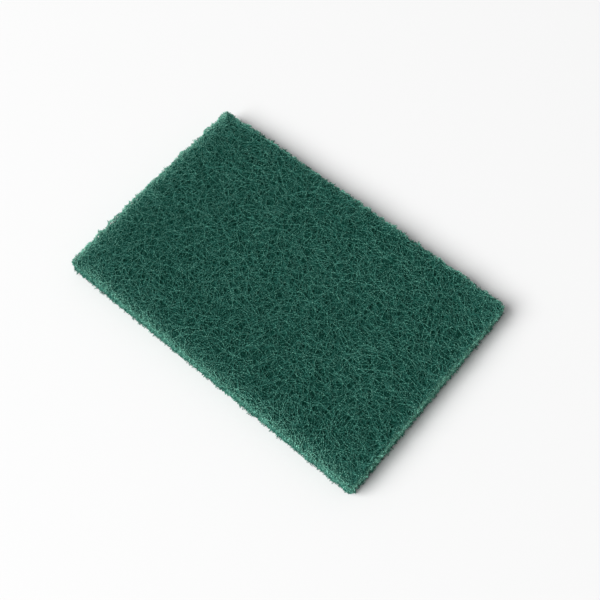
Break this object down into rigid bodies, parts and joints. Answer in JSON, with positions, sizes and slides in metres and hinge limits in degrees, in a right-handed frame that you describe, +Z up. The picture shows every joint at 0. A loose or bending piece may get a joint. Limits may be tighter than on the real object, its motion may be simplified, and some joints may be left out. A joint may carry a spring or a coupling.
{
  "type": "scouring pad",
  "caption": "Flat rectangular scouring pad of springy green nonwoven fibre web, with square-cut sides and slightly rounded corners, lying on one face.",
  "frame": {"origin": "middle of the flat underside, at table height", "axes": "+X along the long side, +Y across the width, +Z up through the thickness"},
  "size_m": [0.1501, 0.0973, 0.0102],
  "materials": {
    "fibre_web": "matte dark green web of crimped nylon fibres coated in a gritty resin"
  },
  "bodies": {
    "root": {"scouring_pad": "fibre_web"}
  },
  "joints": []
}
